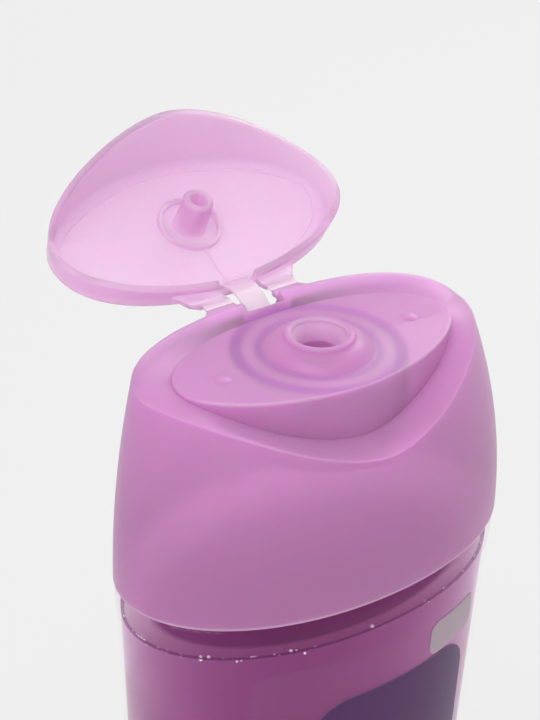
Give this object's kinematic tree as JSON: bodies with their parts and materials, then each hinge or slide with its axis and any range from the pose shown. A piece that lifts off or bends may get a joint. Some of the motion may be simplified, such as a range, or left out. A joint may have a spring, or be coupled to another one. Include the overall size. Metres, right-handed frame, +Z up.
{
  "type": "shower gel bottle",
  "caption": "Oval clear bottle of gel with a frosted flip-top closure: raised deck, dished nozzle, thumb recess and a hollow lid on a film hinge.",
  "frame": {"origin": "centre of the bottle's foot, on the surface that it stands on", "axes": "+Z up along the bottle; X along the long side of the oval; -Y is the front, with the thumb recess; the lid hinges at the back, +Y"},
  "size_m": [0.0766, 0.0762, 0.2349],
  "materials": {
    "clear_pet": "clear blown PET, glossy",
    "gel": "see-through mauve gel",
    "label_film": "clear film with printed fields of colour",
    "frosted_closure": "translucent frosted polypropylene",
    "frosted_lid": "translucent frosted polypropylene, thin",
    "thin_hinge": "nearly clear where the moulding is thin"
  },
  "bodies": {
    "base": {"bottle": "clear_pet", "gel_fill": "gel", "front_label": "label_film", "closure_base": "frosted_closure", "film_hinge_left": "thin_hinge", "film_hinge_right": "thin_hinge", "hinge_strap": "thin_hinge"},
    "lid": {"flip_lid": "frosted_lid"}
  },
  "joints": [
    {"name": "lid_hinge", "type": "hinge", "parent": "base", "child": "lid", "pos_m": [0, 0.0198, 0.21075], "axis": [1, 0, 0], "range_deg": [0, 155.5], "deforming": ["film_hinge_left", "film_hinge_right", "hinge_strap"]}
  ]
}
